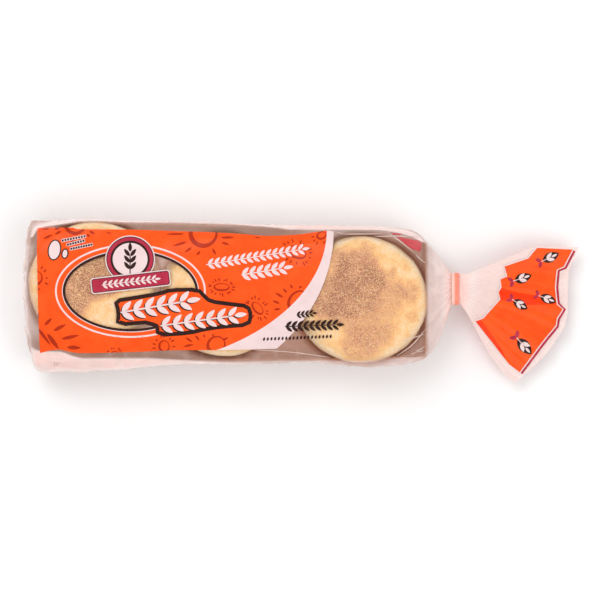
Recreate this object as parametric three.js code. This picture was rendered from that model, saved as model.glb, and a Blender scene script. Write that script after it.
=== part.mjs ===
// A clear bag of English muffins, tied at the neck, lying with its printed front up.
// Millimetres. +X runs from the sealed end of the bag to its fanned-out tail, +Z is up.
//
// The muffins sit in two layers of three in a low board tray, so the bag around them is a
// long soft box. Past the tray the film gathers to a flat neck, which a strip of tape holds,
// and then spreads into a pleated tail.
import * as THREE from "three";

// ---- Driving dimensions -------------------------------------------------------------
const packHeight = 58;          // floor to the top of the upper muffins
const trayHalfWidth = 49.3;     // board tray, half of its outer width
const trayY = 2.2;              // middle of the tray, across
const trayEnd = 295.5;          // outer face of the tray's end wall, from the sealed end
const bodyCorner = 13;          // rounding of the filled bag's long edges

const muffins = [               // upper layer: centre along and across, and radius
  { x: 50.4, y: 5.5, r: 44.5 },
  { x: 139.4, y: 1.8, r: 43.8 },
  { x: 250.8, y: -4.7, r: 45.2 },
];
const filmDip = 9;              // how far the film sinks beside the muffins
const dipReach = 25;            // and over what distance it does so

const neckStart = 312.4;        // the neck is straight from here ...
const neckEnd = 319.2;          // ... to here
const neckHalfWidth = 10.7;
const neckHalfHeight = 3.3;
const neckY = 2.2;
const neckZ = 27;

const bandLength = 5.5;         // the tape, along the neck
const bandThickness = 0.7;
const bandGap = 0.35;           // air between tape and film

const tailThickness = 2.6;
const tailDroop = 15;           // how much lower the mouth hangs than the neck
const pleats = 5;
const pleatDepth = 2.6;         // at the mouth, to either side of the middle surface

const flatSteps = 18;           // steps across the top and across the bottom of a section
const cornerSteps = 3;
const sideSteps = 2;

// Outline of the bag seen from above: [distance from the sealed end, y]. The film stands
// out past the tray as a loose flap on the near side of the sealed end.
const farSide = [
  [0, 18], [1.2, 38], [4.4, 51], [9, 54], [44, 53.6], [97, 52.2], [166, 50.2],
  [223, 48.6], [270, 48.3], [283, 45.8], [290, 43.5], [296, 36], [302, 27.4],
  [307, 19.5], [neckStart, neckY + neckHalfWidth],
];
const nearSide = [
  [0, -12], [1.2, -32], [4.4, -43], [9, -54], [14, -57.2], [52, -56.8], [79, -53.7],
  [122, -50.8], [201, -49.3], [241, -53.5], [263, -53.6], [289, -49.4], [296, -46.5],
  [302, -35], [307, -24], [neckStart, neckY - neckHalfWidth],
];
// Height of the film's underside and of its top over the same length.
const underside = [
  [0, 20], [1.2, 8], [4.4, 1.5], [9, 0], [289, 0], [296, 4], [302, 11], [307, 18],
  [neckStart, neckZ - neckHalfHeight],
];
const topside = [
  [0, 38], [1.2, 48], [4.4, 54], [12, packHeight], [285, packHeight], [296, 50], [302, 42],
  [307, 35], [neckStart, neckZ + neckHalfHeight],
];

// ---- Sections -----------------------------------------------------------------------

// Smooth value between the points of a list of [position, value], with no overshoot.
function along(points, at) {
  const last = points.length - 1;
  if (at <= points[0][0]) return points[0][1];
  if (at >= points[last][0]) return points[last][1];
  const slope = (i) => (points[i + 1][1] - points[i][1]) / (points[i + 1][0] - points[i][0]);
  const tangent = (i) => {
    if (i === 0) return slope(0);
    if (i === last) return slope(last - 1);
    const [before, after] = [slope(i - 1), slope(i)];
    return before * after <= 0 ? 0 : (2 * before * after) / (before + after);
  };
  const i = points.findIndex((point) => point[0] > at) - 1;
  const span = points[i + 1][0] - points[i][0];
  const t = (at - points[i][0]) / span;
  const [a, b] = [points[i][1], points[i + 1][1]];
  return (
    a * (1 + 2 * t) * (1 - t) ** 2 + b * t * t * (3 - 2 * t) +
    span * (tangent(i) * t * (1 - t) ** 2 - tangent(i + 1) * t * t * (1 - t))
  );
}

// Points of a rounded rectangle, anticlockwise seen from +X, from the start of its
// underside. Each is an offset [across, up] from the middle.
function roundedRectangle(halfWidth, halfHeight, radius) {
  const r = Math.min(radius, halfWidth * 0.98, halfHeight * 0.98);
  const points = [];
  const edge = (from, to, steps) => {
    for (let i = 0; i < steps; i++) {
      points.push([0, 1].map((k) => from[k] + ((to[k] - from[k]) * i) / steps));
    }
  };
  const corner = (centre, startAngle) => {
    for (let i = 0; i < cornerSteps; i++) {
      const angle = startAngle + ((Math.PI / 2) * i) / cornerSteps;
      points.push([centre[0] + r * Math.cos(angle), centre[1] + r * Math.sin(angle)]);
    }
  };
  const [w, h] = [halfWidth - r, halfHeight - r];
  edge([-w, -halfHeight], [w, -halfHeight], flatSteps);
  corner([w, -h], -Math.PI / 2);
  edge([halfWidth, -h], [halfWidth, h], sideSteps);
  corner([w, h], 0);
  edge([w, halfHeight], [-w, halfHeight], flatSteps);
  corner([-w, h], Math.PI / 2);
  edge([-halfWidth, h], [-halfWidth, -h], sideSteps);
  corner([-w, -h], Math.PI);
  return points;
}

// How far the film lies below the pack's full height at a place on its top.
function dipAt(x, y) {
  const distance = Math.min(...muffins.map((m) => Math.hypot(x - m.x, y - m.y) - m.r));
  return filmDip * THREE.MathUtils.smoothstep(distance, 0, dipReach);
}

// The filled part of the bag: a rounded box whose top follows the muffins. Along its upper
// and lower edges the film is held in to the tray's width, and between them it stands out.
function bodySection(x) {
  const [far, near] = [along(farSide, x), along(nearSide, x)];
  const [low, high] = [along(underside, x), along(topside, x)];
  const halfHeight = (high - low) / 2;
  const filled = (high - low) / packHeight;
  return roundedRectangle((far - near) / 2, halfHeight, bodyCorner).map(([across, up]) => {
    const loose = (far + near) / 2 + across;
    const held = THREE.MathUtils.clamp(loose, trayY - trayHalfWidth, trayY + trayHalfWidth);
    const y = THREE.MathUtils.lerp(loose, held, (up / halfHeight) ** 2);
    const dip = up > 0 ? (dipAt(x, y) * filled * up) / halfHeight : 0;
    return new THREE.Vector3(x, y, low + halfHeight + up - dip);
  });
}

// ---- Tail ---------------------------------------------------------------------------

// The tail's edges seen from above. Both long edges start at the neck.
const tailRoot = [
  new THREE.Vector2(neckEnd, neckY + neckHalfWidth),
  new THREE.Vector2(neckEnd, neckY - neckHalfWidth),
];
const tailFarEdge = new THREE.SplineCurve([
  tailRoot[0], new THREE.Vector2(333, 18.5), new THREE.Vector2(351, 26.3),
  new THREE.Vector2(376, 33.6), new THREE.Vector2(389, 33.4), new THREE.Vector2(407, 33),
]);
const tailNearEdge = new THREE.SplineCurve([
  tailRoot[1], new THREE.Vector2(326, -15.5), new THREE.Vector2(337, -34),
  new THREE.Vector2(347.5, -52.5), new THREE.Vector2(359.3, -66.6),
]);
const tailMouth = new THREE.CatmullRomCurve3(
  [
    [407, 33], [399, 15.7], [397.7, 5], [397.6, -9], [391, -32], [378, -47], [359.3, -66.6],
  ].map(([x, y]) => new THREE.Vector3(x, y, 0)), false, "centripetal",
);

// A place on the tail's middle surface: `out` runs from the neck to the mouth and `over`
// from the far edge to the near one. The four edges are blended into one patch.
function tailPlace(out, over) {
  const [far, near] = [tailFarEdge.getPoint(out), tailNearEdge.getPoint(out)];
  const mouth = tailMouth.getPoint(over);
  const mix = THREE.MathUtils.lerp;
  const patch = (key) => {
    const root = mix(tailRoot[0][key], tailRoot[1][key], over);
    const corners = mix(
      mix(tailRoot[0][key], tailRoot[1][key], over),
      mix(tailFarEdge.getPoint(1)[key], tailNearEdge.getPoint(1)[key], over), out,
    );
    return mix(far[key], near[key], over) + mix(root, mouth[key], out) - corners;
  };
  const pleat = pleatDepth * out * Math.sin(2 * Math.PI * pleats * over);
  const z = neckZ - tailDroop * out ** 1.6 + pleat;
  return new THREE.Vector3(patch("x"), patch("y"), z);
}

function tailSection(out) {
  const slim = THREE.MathUtils.lerp(neckHalfHeight, tailThickness / 2, Math.sqrt(out));
  return roundedRectangle(neckHalfWidth, slim, bodyCorner).map(([across, up]) => {
    const place = tailPlace(out, 0.5 - across / (2 * neckHalfWidth));
    place.z += up;
    return place;
  });
}

// ---- Solids -------------------------------------------------------------------------

// Skin over a row of sections, closed at both ends by joining top to underside.
function loft(sections) {
  const count = sections[0].length;
  const positions = sections.flat().flatMap((p) => [p.x, p.y, p.z]);
  const faces = [];
  for (let s = 0; s + 1 < sections.length; s++) {
    for (let i = 0; i < count; i++) {
      const [a, b] = [s * count + i, s * count + ((i + 1) % count)];
      faces.push(a, b, a + count, b, b + count, a + count);
    }
  }
  // A section is the same upside down, so each point of its underside has a partner above.
  const above = (i) => (2 * (flatSteps + cornerSteps) + sideSteps - i + count) % count;
  const sideMiddle = cornerSteps + sideSteps / 2;
  const cap = (first, outward) => {
    const face = (...corners) => {
      if (new Set(corners).size < 3) return;
      faces.push(...(outward ? corners : corners.reverse()).map((k) => first + k));
    };
    for (let i = -sideMiddle; i < flatSteps + sideMiddle; i++) {
      const [a, b] = [(i + count) % count, (i + 1 + count) % count];
      face(a, b, above(b));
      face(a, above(b), above(a));
    }
  };
  cap(0, false);
  cap((sections.length - 1) * count, true);
  const geometry = new THREE.BufferGeometry();
  geometry.setAttribute("position", new THREE.Float32BufferAttribute(positions, 3));
  geometry.setIndex(faces);
  return geometry;
}

const steps = (from, to, count) =>
  Array.from({ length: count }, (_, i) => from + ((to - from) * i) / count);

function bagGeometry() {
  const bodyPlaces = [
    0, 1.2, 4.4, 9, ...steps(14, trayEnd - 11, 24), ...steps(trayEnd - 11, neckStart, 9),
    neckStart, neckEnd,
  ];
  const tailPlaces = steps(0, 1, 12).slice(1).concat(1);
  return loft([...bodyPlaces.map(bodySection), ...tailPlaces.map(tailSection)]);
}

// The tape round the neck: a flat loop, drawn as its end view and carried along the neck.
function bandGeometry() {
  const loop = (grow) =>
    roundedRectangle(neckHalfWidth + grow, neckHalfHeight + grow, bodyCorner)
      .map(([across, up]) => new THREE.Vector2(across, up));
  const shape = new THREE.Shape(loop(bandGap + bandThickness));
  shape.holes.push(new THREE.Path(loop(bandGap).reverse()));
  const geometry = new THREE.ExtrudeGeometry(shape, { depth: bandLength, bevelEnabled: false });
  // End view in Y and Z, length along +X.
  geometry.applyMatrix4(new THREE.Matrix4().makeBasis(
    new THREE.Vector3(0, 1, 0), new THREE.Vector3(0, 0, 1), new THREE.Vector3(1, 0, 0),
  ));
  return geometry;
}

// ---- Assembly -----------------------------------------------------------------------
const bag = new THREE.Mesh(
  bagGeometry(),
  new THREE.MeshStandardMaterial({ color: 0xf0a070, roughness: 0.35, metalness: 0 }),
);
bag.name = "bag";

const neckBand = new THREE.Mesh(
  bandGeometry(),
  new THREE.MeshStandardMaterial({ color: 0xf9a893, roughness: 0.5, metalness: 0 }),
);
neckBand.name = "neck_band";
neckBand.position.set((neckStart + neckEnd - bandLength) / 2, neckY, neckZ);

// The origin is the middle of the pack's outline on the surface that it lies on.
const pack = new THREE.Group();
pack.add(bag, neckBand);
const outer = new THREE.Box3().setFromObject(pack);
const group = new THREE.Group();
pack.position.set(-(outer.min.x + outer.max.x) / 2, -(outer.min.y + outer.max.y) / 2, 0);
group.add(pack);

export default group;
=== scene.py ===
"""A clear bag of English muffins, tied at the neck, lying with its printed front up.

Lengths are in millimetres in pack coordinates until a mesh is made: x from the sealed end of
the bag towards its tail, y across from the pack's axis, z up from the surface it lies on.
"""

import math

import bpy
import numpy as np
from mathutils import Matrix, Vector
from mathutils.bvhtree import BVHTree
from mathutils.geometry import delaunay_2d_cdt


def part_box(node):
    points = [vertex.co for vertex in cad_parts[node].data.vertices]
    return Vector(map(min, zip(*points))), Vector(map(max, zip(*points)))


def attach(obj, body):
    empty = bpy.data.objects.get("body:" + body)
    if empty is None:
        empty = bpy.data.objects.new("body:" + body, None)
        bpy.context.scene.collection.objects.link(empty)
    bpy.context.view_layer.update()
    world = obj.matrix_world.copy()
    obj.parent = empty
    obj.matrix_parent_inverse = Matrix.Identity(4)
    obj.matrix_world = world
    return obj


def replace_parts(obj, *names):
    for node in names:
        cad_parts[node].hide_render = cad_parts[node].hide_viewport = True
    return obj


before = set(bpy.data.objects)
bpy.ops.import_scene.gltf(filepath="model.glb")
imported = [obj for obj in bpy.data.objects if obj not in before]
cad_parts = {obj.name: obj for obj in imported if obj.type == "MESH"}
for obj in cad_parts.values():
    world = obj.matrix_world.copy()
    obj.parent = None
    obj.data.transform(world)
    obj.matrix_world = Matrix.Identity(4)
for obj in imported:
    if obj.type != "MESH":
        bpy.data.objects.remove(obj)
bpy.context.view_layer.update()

# ---- Driving dimensions ---------------------------------------------------------------
MM = 0.001
PACK_HEIGHT = 58.0
TRAY_START, TRAY_END = 3.6, 295.5
TRAY_Y = 2.2
BOARD = 0.6                        # thickness of the tray's board
WALL_HEIGHT = 27.0
WALL_LEAN = 2.4                    # how far in from the tray's rim a wall's foot stands
BODY_CORNER = 13.0
FILM_DIP, DIP_REACH = 9.0, 25.0    # how far the film sinks beside the muffins, over what reach
SHOULDER = 284.0                   # where the film leaves the contents and runs to the neck
NECK_START, NECK_END = 312.4, 319.2
NECK_HALF_WIDTH, NECK_HALF_HEIGHT = 10.7, 3.3
NECK_Y, NECK_Z = 2.2, 27.0
TAIL_DROOP = 15.0

# Muffins: centre along, centre across, radius, and how much longer than wide they are.
UPPER_MUFFINS = [
    (53.0, 5.2, 46.7, 0.024), (146.6, -2.7, 44.95, 0.0235), (246.8, -5.8, 46.9, 0.027),
]
LOWER_MUFFINS = [(53.0, 2.6, 43.4, 0.0), (147.0, 0.6, 43.4, 0.0), (243.6, -1.4, 43.4, 0.0)]
MUFFIN_HEIGHT = 27.6
LAYERS = [(UPPER_MUFFINS, 29.2), (LOWER_MUFFINS, 1.2)]     # and the heights of their undersides

# Outline of the bag from above and heights of its underside and top, by distance from the
# sealed end.
FAR_SIDE = [
    (0, 18), (0.7, 25), (1.4, 31), (2.1, 37), (2.9, 42), (4.0, 49), (5.4, 52), (9, 53.8),
    (44, 53.6), (97, 52.2), (166, 50.2), (223, 48.8), (263, 48.1), (272.5, 47.3), (280, 46.5),
    (284.2, 45.7), (288.5, 44.4), (292.9, 39.8), (297.3, 34.0), (301.7, 27.5), (306.1, 21.6),
    (310.4, 15.8), (NECK_START, NECK_Y + NECK_HALF_WIDTH),
]
NEAR_SIDE = [
    (0, -16), (0.9, -28), (2.1, -34), (3.6, -39.5), (5.4, -44), (7.2, -51.2), (10.9, -57.6),
    (15, -58.8), (44, -58.8), (62, -57.4), (80, -56.0), (97, -54.7), (108, -53.6), (133, -52.9),
    (158, -53.2), (185, -52.0), (211, -50.8), (229, -53.8), (246, -55.4), (264, -55.6),
    (276, -54.8), (284, -52.8), (289, -51.6), (293.5, -50.0), (297.5, -46.8), (301.7, -38.4),
    (306.1, -29), (310.4, -17.4), (NECK_START, NECK_Y - NECK_HALF_WIDTH),
]
# The tray's rim, as the bag squeezes it.
TRAY_FAR = [
    (3.6, 46), (6, 49.5), (14, 50.5), (60, 50.2), (130, 49.4), (200, 48.0), (262, 46.2),
    (280, 44.8), (287, 42.4), (291.5, 39.6), (295.5, 34.0),
]
TRAY_NEAR = [
    (3.6, -38.5), (7, -44.0), (16, -47.0), (60, -48.8), (130, -49.9), (180, -49.9), (240, -49.0),
    (284, -48.4), (291, -47.6), (295.5, -45.0),
]
UNDERSIDE = [
    (0, 20), (1.2, 8), (4.4, 1.5), (9, 0), (289, 0), (296, 4), (302, 11), (307, 18),
    (NECK_START, NECK_Z - NECK_HALF_HEIGHT),
]
TOPSIDE = [
    (0, 38), (1.2, 48), (4.4, 54), (12, PACK_HEIGHT), (285, PACK_HEIGHT), (296, 50),
    (302, 42), (307, 35), (NECK_START, NECK_Z + NECK_HALF_HEIGHT),
]

# The CAD boxes say where pack coordinates start in the frame.
bag_low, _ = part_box("bag")
band_low, band_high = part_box("neck_band")
PACK_ORIGIN = np.array([bag_low.x, (band_low.y + band_high.y) / 2 - NECK_Y * MM, bag_low.z])


# ---- Small tools ----------------------------------------------------------------------
def along(points, at):
    """Smooth values between (position, value) points, with no overshoot."""
    at = np.clip(np.asarray(at, float), points[0][0], points[-1][0])
    xs, ys = np.array(points, float).T
    slopes = np.diff(ys) / np.diff(xs)
    before, after = slopes[:-1], slopes[1:]
    total = np.where(before * after > 0, before + after, 1.0)
    inner = np.where(before * after > 0, 2 * before * after / total, 0.0)
    tangents = np.concatenate([slopes[:1], inner, slopes[-1:]])
    i = np.clip(np.searchsorted(xs, at, side="right") - 1, 0, len(xs) - 2)
    span = xs[i + 1] - xs[i]
    t = (at - xs[i]) / span
    return (
        ys[i] * (1 + 2 * t) * (1 - t) ** 2 + ys[i + 1] * t * t * (3 - 2 * t)
        + span * (tangents[i] * t * (1 - t) ** 2 - tangents[i + 1] * t * t * (1 - t))
    )


def step(value, low, high):
    """Smooth rise from 0 at low to 1 at high."""
    t = np.clip((value - low) / (high - low), 0.0, 1.0)
    return t * t * (3 - 2 * t)


def noise(points, size, seed=0):
    """Smooth random values from 0 to 1 at points, changing over about size.

    Each corner of a cell has a value that a hash makes from its place and the seed.
    """
    p = np.asarray(points, float) / size
    cell = np.floor(p).astype(np.int64)
    t = p - cell
    t = t * t * (3 - 2 * t)
    total = np.zeros(p.shape[:-1])
    for corner in np.ndindex(2, 2, 2):
        c = (cell + corner).astype(np.uint64) & np.uint64(0xFFFF)
        h = c[..., 0] * np.uint64(73856093) ^ c[..., 1] * np.uint64(19349663)
        h = h ^ c[..., 2] * np.uint64(83492791) ^ np.uint64(seed * 2654435761 + 12345)
        h = (h ^ (h >> np.uint64(13))) * np.uint64(1274126177) & np.uint64(0xFFFFFFFF)
        h = (h ^ (h >> np.uint64(16))) * np.uint64(2246822519) & np.uint64(0xFFFFFFFF)
        value = ((h ^ (h >> np.uint64(15))) & np.uint64(0xFFFFFF)).astype(float) / 0xFFFFFF
        weight = np.prod(np.where(corner, t, 1 - t), axis=-1)
        total += value * weight
    return total


def layered_noise(points, size, seed=0):
    """Three layers of noise, each half the size and strength of the one before."""
    values = [noise(points, size / 2**k, seed + 17 * k) / 2**k for k in range(3)]
    return sum(values) / 1.75


def ridges(points, size, seed=0, sharp=4.0):
    """A net of thin crease lines, 1 on each line and 0 between them."""
    return (1 - np.abs(2 * noise(points, size, seed) - 1)) ** sharp


def to_frame(points):
    """Pack coordinates in millimetres, as the frame's metres."""
    return np.asarray(points, float) * MM + PACK_ORIGIN


def add_object(name, data):
    added = bpy.data.objects.new(name, data)
    bpy.context.scene.collection.objects.link(added)
    return added


def make_piece(name, points, faces, material, slot, smooth=True, marks=None):
    """A mesh object from pack coordinates. marks are named values, one for each point."""
    mesh = bpy.data.meshes.new(name)
    mesh.from_pydata(to_frame(points).tolist(), [], [list(map(int, f)) for f in faces])
    mesh.materials.append(material)
    mesh.polygons.foreach_set("use_smooth", [smooth] * len(mesh.polygons))
    for key, values in (marks or {}).items():
        mark = mesh.attributes.new(key, "FLOAT", "POINT")
        mark.data.foreach_set("value", np.asarray(values, np.float32).ravel())
    mesh.update()
    piece = add_object(name, mesh)
    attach(piece, "root")
    return piece


def grid_faces(rows, columns, wrap=False, flip=False):
    """Quads of a grid of points stored row by row. wrap joins the last column to the first."""
    i, j = np.meshgrid(np.arange(rows - 1), np.arange(columns - (not wrap)), indexing="ij")
    i, j = i.ravel(), j.ravel()
    k = (j + 1) % columns
    quads = np.stack([i * columns + j, i * columns + k, (i + 1) * columns + k,
                      (i + 1) * columns + j], axis=1)
    return quads[:, ::-1] if flip else quads


def grid_normals(points, wrap):
    """Unit normals at the points of a grid."""
    if wrap:
        around = np.roll(points, -1, axis=1) - np.roll(points, 1, axis=1)
    else:
        around = np.gradient(points, axis=1)
    normal = np.cross(around, np.gradient(points, axis=0))
    return normal / np.maximum(np.linalg.norm(normal, axis=-1, keepdims=True), 1e-9)


def left_of(run):
    """Unit vectors to the left of the directions run, which lie in a plane."""
    side = np.column_stack([-run[:, 1], run[:, 0]])
    return side / np.linalg.norm(side, axis=1, keepdims=True)


def joined(parts):
    """The points and the faces of one mesh, from (points, faces) of each of its parts."""
    starts = np.cumsum([0] + [len(points) for points, _ in parts])
    faces = [faces + start for (_, faces), start in zip(parts, starts)]
    return np.concatenate([points for points, _ in parts]), np.concatenate(faces)


# ---- Materials ------------------------------------------------------------------------
def linear(red, green, blue):
    """A colour given as screen values from 0 to 255."""
    values = [c / 255 for c in (red, green, blue)]
    return [c / 12.92 if c <= 0.04045 else ((c + 0.055) / 1.055) ** 2.4 for c in values] + [1]


class Nodes:
    """Short-hand for building one material's node tree."""

    def __init__(self, name):
        self.material = bpy.data.materials.new(name)
        self.material.use_nodes = True
        self.tree = self.material.node_tree
        self.tree.nodes.clear()
        self.coordinates = self.add("ShaderNodeTexCoord").outputs["Object"]

    def add(self, kind, inputs=None, **settings):
        node = self.tree.nodes.new(kind)
        for key, value in settings.items():
            setattr(node, key, value)
        for key, value in (inputs or {}).items():
            if isinstance(value, bpy.types.NodeSocket):
                self.tree.links.new(value, node.inputs[key])
            else:
                node.inputs[key].default_value = value
        return node

    def noise(self, size, detail=3.0, stretch=(1, 1, 1), roughness=0.55):
        """Noise that changes over about size millimetres, longer along a stretched axis."""
        scale = [1 / (MM * size * s) for s in stretch]
        moved = self.add("ShaderNodeMapping", {"Vector": self.coordinates, "Scale": scale})
        values = {"Vector": moved.outputs[0], "Scale": 1.0, "Detail": detail,
                  "Roughness": roughness}
        return self.add("ShaderNodeTexNoise", values).outputs["Fac"]

    def mark(self, name):
        return self.add("ShaderNodeAttribute", attribute_name=name).outputs["Fac"]

    def math(self, operation, a, b, clamp=False):
        node = self.add("ShaderNodeMath", {0: a, 1: b}, operation=operation, use_clamp=clamp)
        return node.outputs[0]

    def plus(self, a, b, clamp=False):
        return self.math("ADD", a, b, clamp)

    def times(self, a, b, clamp=False):
        return self.math("MULTIPLY", a, b, clamp)

    def ramp(self, value, *stops):
        """Screen colours or greys by value: stops are (position, colour)."""
        node = self.add("ShaderNodeValToRGB", {"Fac": value})
        elements = node.color_ramp.elements
        while len(elements) < len(stops):
            elements.new(0.5)
        for element, (position, colour) in zip(elements, stops):
            element.position = position
            element.color = linear(*colour) if isinstance(colour, tuple) else (colour,) * 3 + (1,)
        return node.outputs["Color"]

    def mix(self, factor, a, b):
        """From a to b by factor: b may be a screen colour."""
        b = linear(*b) if isinstance(b, tuple) else b
        return self.add("ShaderNodeMix", {0: factor, 6: a, 7: b}, data_type="RGBA").outputs[2]

    def bump(self, height, strength, distance):
        values = {"Height": height, "Strength": strength, "Distance": distance * MM}
        return self.add("ShaderNodeBump", values).outputs["Normal"]

    def shader(self, colour, roughness, ior, normal, more=None):
        values = {"Base Color": colour, "Roughness": roughness, "IOR": ior, "Normal": normal}
        return self.add("ShaderNodeBsdfPrincipled", values | (more or {}))

    def surface(self, shader):
        output = self.add("ShaderNodeOutputMaterial")
        self.tree.links.new(shader.outputs[0], output.inputs["Surface"])
        return self.material


def film_material():
    """Thin clear film: see-through where it is smooth, milky pink where it is folded."""
    n = Nodes("film")
    streaks = n.noise(2.2, 4, stretch=(3.5, 1, 1))
    broad = n.noise(14, 2)
    cloud = n.plus(n.times(streaks, 0.22), n.times(broad, 0.36))
    milk = n.times(n.mark("milk"), n.plus(cloud, 0.72))
    edge = n.add("ShaderNodeFresnel", {"IOR": 1.35}).outputs[0]
    solid = n.plus(milk, n.times(edge, 0.5), clamp=True)
    colour = n.ramp(n.mark("milk"), (0.0, (250, 200, 176)), (0.25, (250, 206, 186)),
                    (0.5, (251, 224, 216)), (0.8, (252, 231, 226)), (1.0, (246, 202, 193)))
    skin = n.shader(colour, 0.24, 1.4, n.bump(n.noise(2.4, 3), 0.12, 0.25))
    clear = n.add("ShaderNodeBsdfTransparent", {"Color": (0.992, 0.985, 0.983, 1)})
    return n.surface(n.add("ShaderNodeMixShader", {0: solid, 1: clear.outputs[0],
                                                   2: skin.outputs[0]}))


def ink_material(name, base, deep):
    """Glossy ink on film, a little uneven."""
    n = Nodes(name)
    patch = n.ramp(n.noise(9, 4), (0.3, deep), (0.6, base))
    colour = n.mix(n.times(n.noise(0.5, 2), 0.12), patch, deep)
    roughness = n.ramp(n.noise(4, 2), (0.3, 0.26), (0.7, 0.38))
    return n.surface(n.shader(colour, roughness, 1.4, n.bump(n.noise(1.4, 3), 0.12, 0.2),
                              {"Specular IOR Level": 0.22}))


def muffin_material():
    """Griddled crumb: cream at the rim, golden, then mottled and pitted brown in the middle."""
    n = Nodes("muffin")
    fine = n.noise(0.9, 4, roughness=0.75)
    patches = n.noise(5.5, 4, roughness=0.65)
    uneven = n.times(n.math("SUBTRACT", patches, 0.5), 0.62)
    grain = n.times(n.math("SUBTRACT", fine, 0.5), 0.9)
    toast = n.plus(n.plus(n.mark("toast"), uneven), grain, clamp=True)
    colour = n.ramp(toast, (0.0, (254, 234, 202)), (0.14, (252, 216, 156)),
                    (0.3, (247, 202, 140)), (0.48, (230, 180, 132)), (0.7, (210, 155, 118)),
                    (1.0, (172, 114, 86)))
    speckled = n.times(n.mark("toast"), 1.3, clamp=True)
    pits = n.ramp(n.noise(1.25, 3, roughness=0.8), (0.4, 1.0), (0.49, 0.0))
    colour = n.mix(n.times(pits, n.times(speckled, 0.55)), colour, (168, 110, 84))
    flour = n.ramp(n.noise(0.95, 3, roughness=0.8), (0.51, 0.0), (0.6, 1.0))
    colour = n.mix(n.times(flour, n.times(speckled, 0.74)), colour, (254, 226, 186))
    height = n.plus(n.times(n.noise(0.9, 5, roughness=0.75), 0.6), n.times(n.noise(2.6, 3), 0.8))
    return n.surface(n.shader(colour, 0.85, 1.35, n.bump(height, 0.6, 0.5), {
        "Subsurface Weight": 0.12, "Subsurface Radius": (0.0024, 0.0012, 0.0006),
        "Subsurface Scale": 1.0,
    }))


def cornmeal_material():
    """Dry grains, from golden to nearly white."""
    n = Nodes("cornmeal")
    colour = n.ramp(n.noise(0.9, 2), (0.3, (240, 196, 128)), (0.55, (250, 219, 164)),
                    (0.75, (253, 236, 205)))
    return n.surface(n.shader(colour, 0.75, 1.4, n.bump(n.noise(0.3, 2), 0.4, 0.1)))


def board_material():
    """Uncoated mauve-brown board with fibres running along it, and painted shade that darkens its
    outer faces.
    """
    n = Nodes("tray_board")
    fibre = n.noise(0.55, 4, stretch=(5, 1, 1), roughness=0.7)
    tone = n.plus(n.times(fibre, 0.45), n.times(n.noise(16, 3), 0.6))
    colour = n.ramp(tone, (0.3, (240, 172, 140)), (0.52, (250, 188, 156)),
                    (0.75, (254, 204, 176)))
    # Painted shade: the outer faces, where outside is 1, are darkened halfway towards a deep brown.
    outer_shade = n.mix(0.5, colour, (150, 96, 76))
    colour = n.mix(n.mark("outside"), colour, outer_shade)
    specks = n.ramp(n.noise(0.7, 2), (0.7, 0.0), (0.78, 1.0))
    colour = n.mix(n.times(specks, 0.45), colour, (240, 214, 192))
    return n.surface(n.shader(colour, 0.8, 1.35, n.bump(fibre, 0.3, 0.15)))


def tape_material():
    """Salmon tape with fine ribs along its length."""
    n = Nodes("neck_tape")
    colour = n.ramp(n.noise(3, 3), (0.3, (242, 130, 106)), (0.7, (248, 149, 127)))
    colour = n.mix(n.mark("pale"), colour, (246, 200, 186))
    ribs = n.noise(0.35, 2, stretch=(1, 9, 9))
    return n.surface(n.shader(colour, 0.42, 1.45, n.bump(ribs, 0.3, 0.15)))


film = film_material()
INKS = {                       # each ink, and what it deepens to in patches
    "print_orange": ((255, 89, 23), (252, 79, 14)),
    # a deeper orange, painted as shade in the valleys of the tail's folds
    "print_fold_shade_orange": ((255, 60, 2), (250, 50, 1)),
    "print_dark_orange": ((184, 48, 8), (168, 40, 6)),
    "print_white": ((237, 213, 212), (230, 204, 203)),
    "print_black": ((52, 28, 22), (42, 20, 16)),
    "print_crimson": ((184, 48, 72), (168, 38, 62)),
    "print_faded_crimson": ((206, 84, 88), (192, 62, 70)),
    # a pale ink that paints the highlights along the film's creases
    "film_crease_highlight": ((232, 206, 194), (206, 178, 166)),
    "print_grey": ((196, 172, 166), (184, 160, 154)),
}
(orange, fold_shade_orange, dark_orange, white_ink, black_ink, crimson, faded_crimson, crease_highlight_ink,
 grey_ink) = (ink_material(name, base, deep) for name, (base, deep) in INKS.items())
bread = muffin_material()
meal = cornmeal_material()
board = board_material()
tape = tape_material()


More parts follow.
